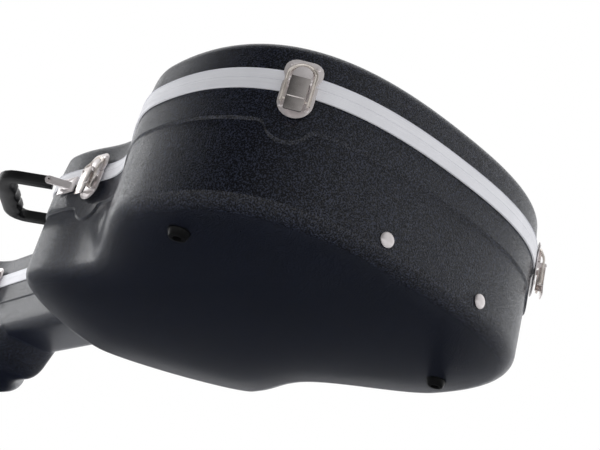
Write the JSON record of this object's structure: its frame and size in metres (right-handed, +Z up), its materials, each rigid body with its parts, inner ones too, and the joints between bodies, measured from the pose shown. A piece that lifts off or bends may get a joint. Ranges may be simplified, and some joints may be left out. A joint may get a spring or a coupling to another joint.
{
  "type": "acoustic guitar case",
  "caption": "Hard moulded case for an acoustic guitar with a hinged lid, metal rim valances, draw latches, a carrying handle and a plush lining.",
  "frame": {"origin": "centre of the bounding box in plan, at the height of the feet", "axes": "+X from the headstock end to the tail of the body, +Z up from the back of the case to its lid, -Y the side with the handle"},
  "size_m": [1.0994, 0.4706, 0.1755],
  "materials": {
    "nickel": "bright nickel plate",
    "plastic": "smooth black moulded plastic",
    "plush": "black plush over foam",
    "shell": "black moulded plastic with a fine pebble texture",
    "valance": "satin extruded aluminium"
  },
  "bodies": {
    "case_base": {"accessory_box": "plush", "back_foot_front": "plastic", "back_foot_rear": "plastic", "bottom_lining": "plush", "bottom_shell": "shell", "bottom_valance": "valance", "handle_bracket_far": "nickel", "handle_bracket_near": "nickel", "handle_pin_far": "nickel", "handle_pin_near": "nickel", "hinge_lower_lower_leaf": "nickel", "hinge_lower_pin": "nickel", "hinge_upper_lower_leaf": "nickel", "hinge_upper_pin": "nickel", "latch_bout_front_base": "nickel", "latch_bout_front_pin": "nickel", "latch_neck_base": "nickel", "latch_neck_pin": "nickel", "latch_tail_front_base": "nickel", "latch_tail_front_pin": "nickel", "latch_tail_rear_base": "nickel", "latch_tail_rear_pin": "nickel", "neck_cradle": "plush", "tail_stud_front": "nickel", "tail_stud_rear": "nickel"},
    "case_lid": {"hinge_lower_upper_leaf": "nickel", "hinge_upper_upper_leaf": "nickel", "latch_bout_front_strike": "nickel", "latch_neck_strike": "nickel", "latch_tail_front_strike": "nickel", "latch_tail_rear_strike": "nickel", "lid_lining": "plush", "lid_shell": "shell", "lid_valance": "valance"},
    "handle": {"handle_grip": "plastic"},
    "accessory_cover": {"accessory_lid": "plush", "accessory_tab": "plush"},
    "latch_tail_front_lever": {"latch_tail_front_lever": "nickel"},
    "latch_tail_front_bail": {"latch_tail_front_bail": "nickel"},
    "latch_bout_front_lever": {"latch_bout_front_lever": "nickel"},
    "latch_bout_front_bail": {"latch_bout_front_bail": "nickel"},
    "latch_tail_rear_lever": {"latch_tail_rear_lever": "nickel"},
    "latch_tail_rear_bail": {"latch_tail_rear_bail": "nickel"},
    "latch_neck_lever": {"latch_neck_lever": "nickel"},
    "latch_neck_bail": {"latch_neck_bail": "nickel"}
  },
  "joints": [
    {"name": "lid_hinge", "type": "hinge", "parent": "case_base", "child": "case_lid", "pos_m": [0.22453, 0.20588, 0.1301], "axis": [-0.9874, -0.1583, 0], "range_deg": [0, 103]},
    {"name": "handle_swing", "type": "hinge", "parent": "case_base", "child": "handle", "pos_m": [0.06206, -0.16101, 0.1187], "axis": [-0.8329, 0.5534, 0], "range_deg": [0, 75]},
    {"name": "accessory_cover_hinge", "type": "hinge", "parent": "case_base", "child": "accessory_cover", "pos_m": [-0.14265, 0.0308, 0.0931], "axis": [-1, 0, 0], "range_deg": [0, 85]},
    {"name": "latch_tail_front_release", "type": "hinge", "parent": "case_base", "child": "latch_tail_front_lever", "pos_m": [0.51654, -0.16718, 0.1269], "axis": [-0.6188, -0.7855, 0], "range_deg": [0, 150]},
    {"name": "latch_tail_front_bail_swing", "type": "hinge", "parent": "latch_tail_front_lever", "child": "latch_tail_front_bail", "pos_m": [0.5156, -0.16644, 0.1088], "axis": [-0.6188, -0.7855, 0], "range_deg": [-150, 0]},
    {"name": "latch_bout_front_release", "type": "hinge", "parent": "case_base", "child": "latch_bout_front_lever", "pos_m": [0.16682, -0.17546, 0.1269], "axis": [-0.9916, -0.1295, 0], "range_deg": [0, 150]},
    {"name": "latch_bout_front_bail_swing", "type": "hinge", "parent": "latch_bout_front_lever", "child": "latch_bout_front_bail", "pos_m": [0.16667, -0.17427, 0.1088], "axis": [-0.9916, -0.1295, 0], "range_deg": [-150, 0]},
    {"name": "latch_tail_rear_release", "type": "hinge", "parent": "case_base", "child": "latch_tail_rear_lever", "pos_m": [0.50421, 0.18758, 0.1269], "axis": [0.7168, -0.6973, 0], "range_deg": [0, 150]},
    {"name": "latch_tail_rear_bail_swing", "type": "hinge", "parent": "latch_tail_rear_lever", "child": "latch_tail_rear_bail", "pos_m": [0.50337, 0.18672, 0.1088], "axis": [0.7168, -0.6973, 0], "range_deg": [-150, 0]},
    {"name": "latch_neck_release", "type": "hinge", "parent": "case_base", "child": "latch_neck_lever", "pos_m": [-0.35167, -0.06221, 0.1269], "axis": [-0.981, -0.1943, 0], "range_deg": [0, 150]},
    {"name": "latch_neck_bail_swing", "type": "hinge", "parent": "latch_neck_lever", "child": "latch_neck_bail", "pos_m": [-0.35191, -0.06104, 0.1088], "axis": [-0.981, -0.1943, 0], "range_deg": [-150, 0]}
  ],
  "couplings": [
    {"joint": "latch_tail_front_bail_swing", "follows": "latch_tail_front_release", "ratio": -1},
    {"joint": "latch_bout_front_bail_swing", "follows": "latch_bout_front_release", "ratio": -1},
    {"joint": "latch_tail_rear_bail_swing", "follows": "latch_tail_rear_release", "ratio": -1},
    {"joint": "latch_neck_bail_swing", "follows": "latch_neck_release", "ratio": -1}
  ]
}
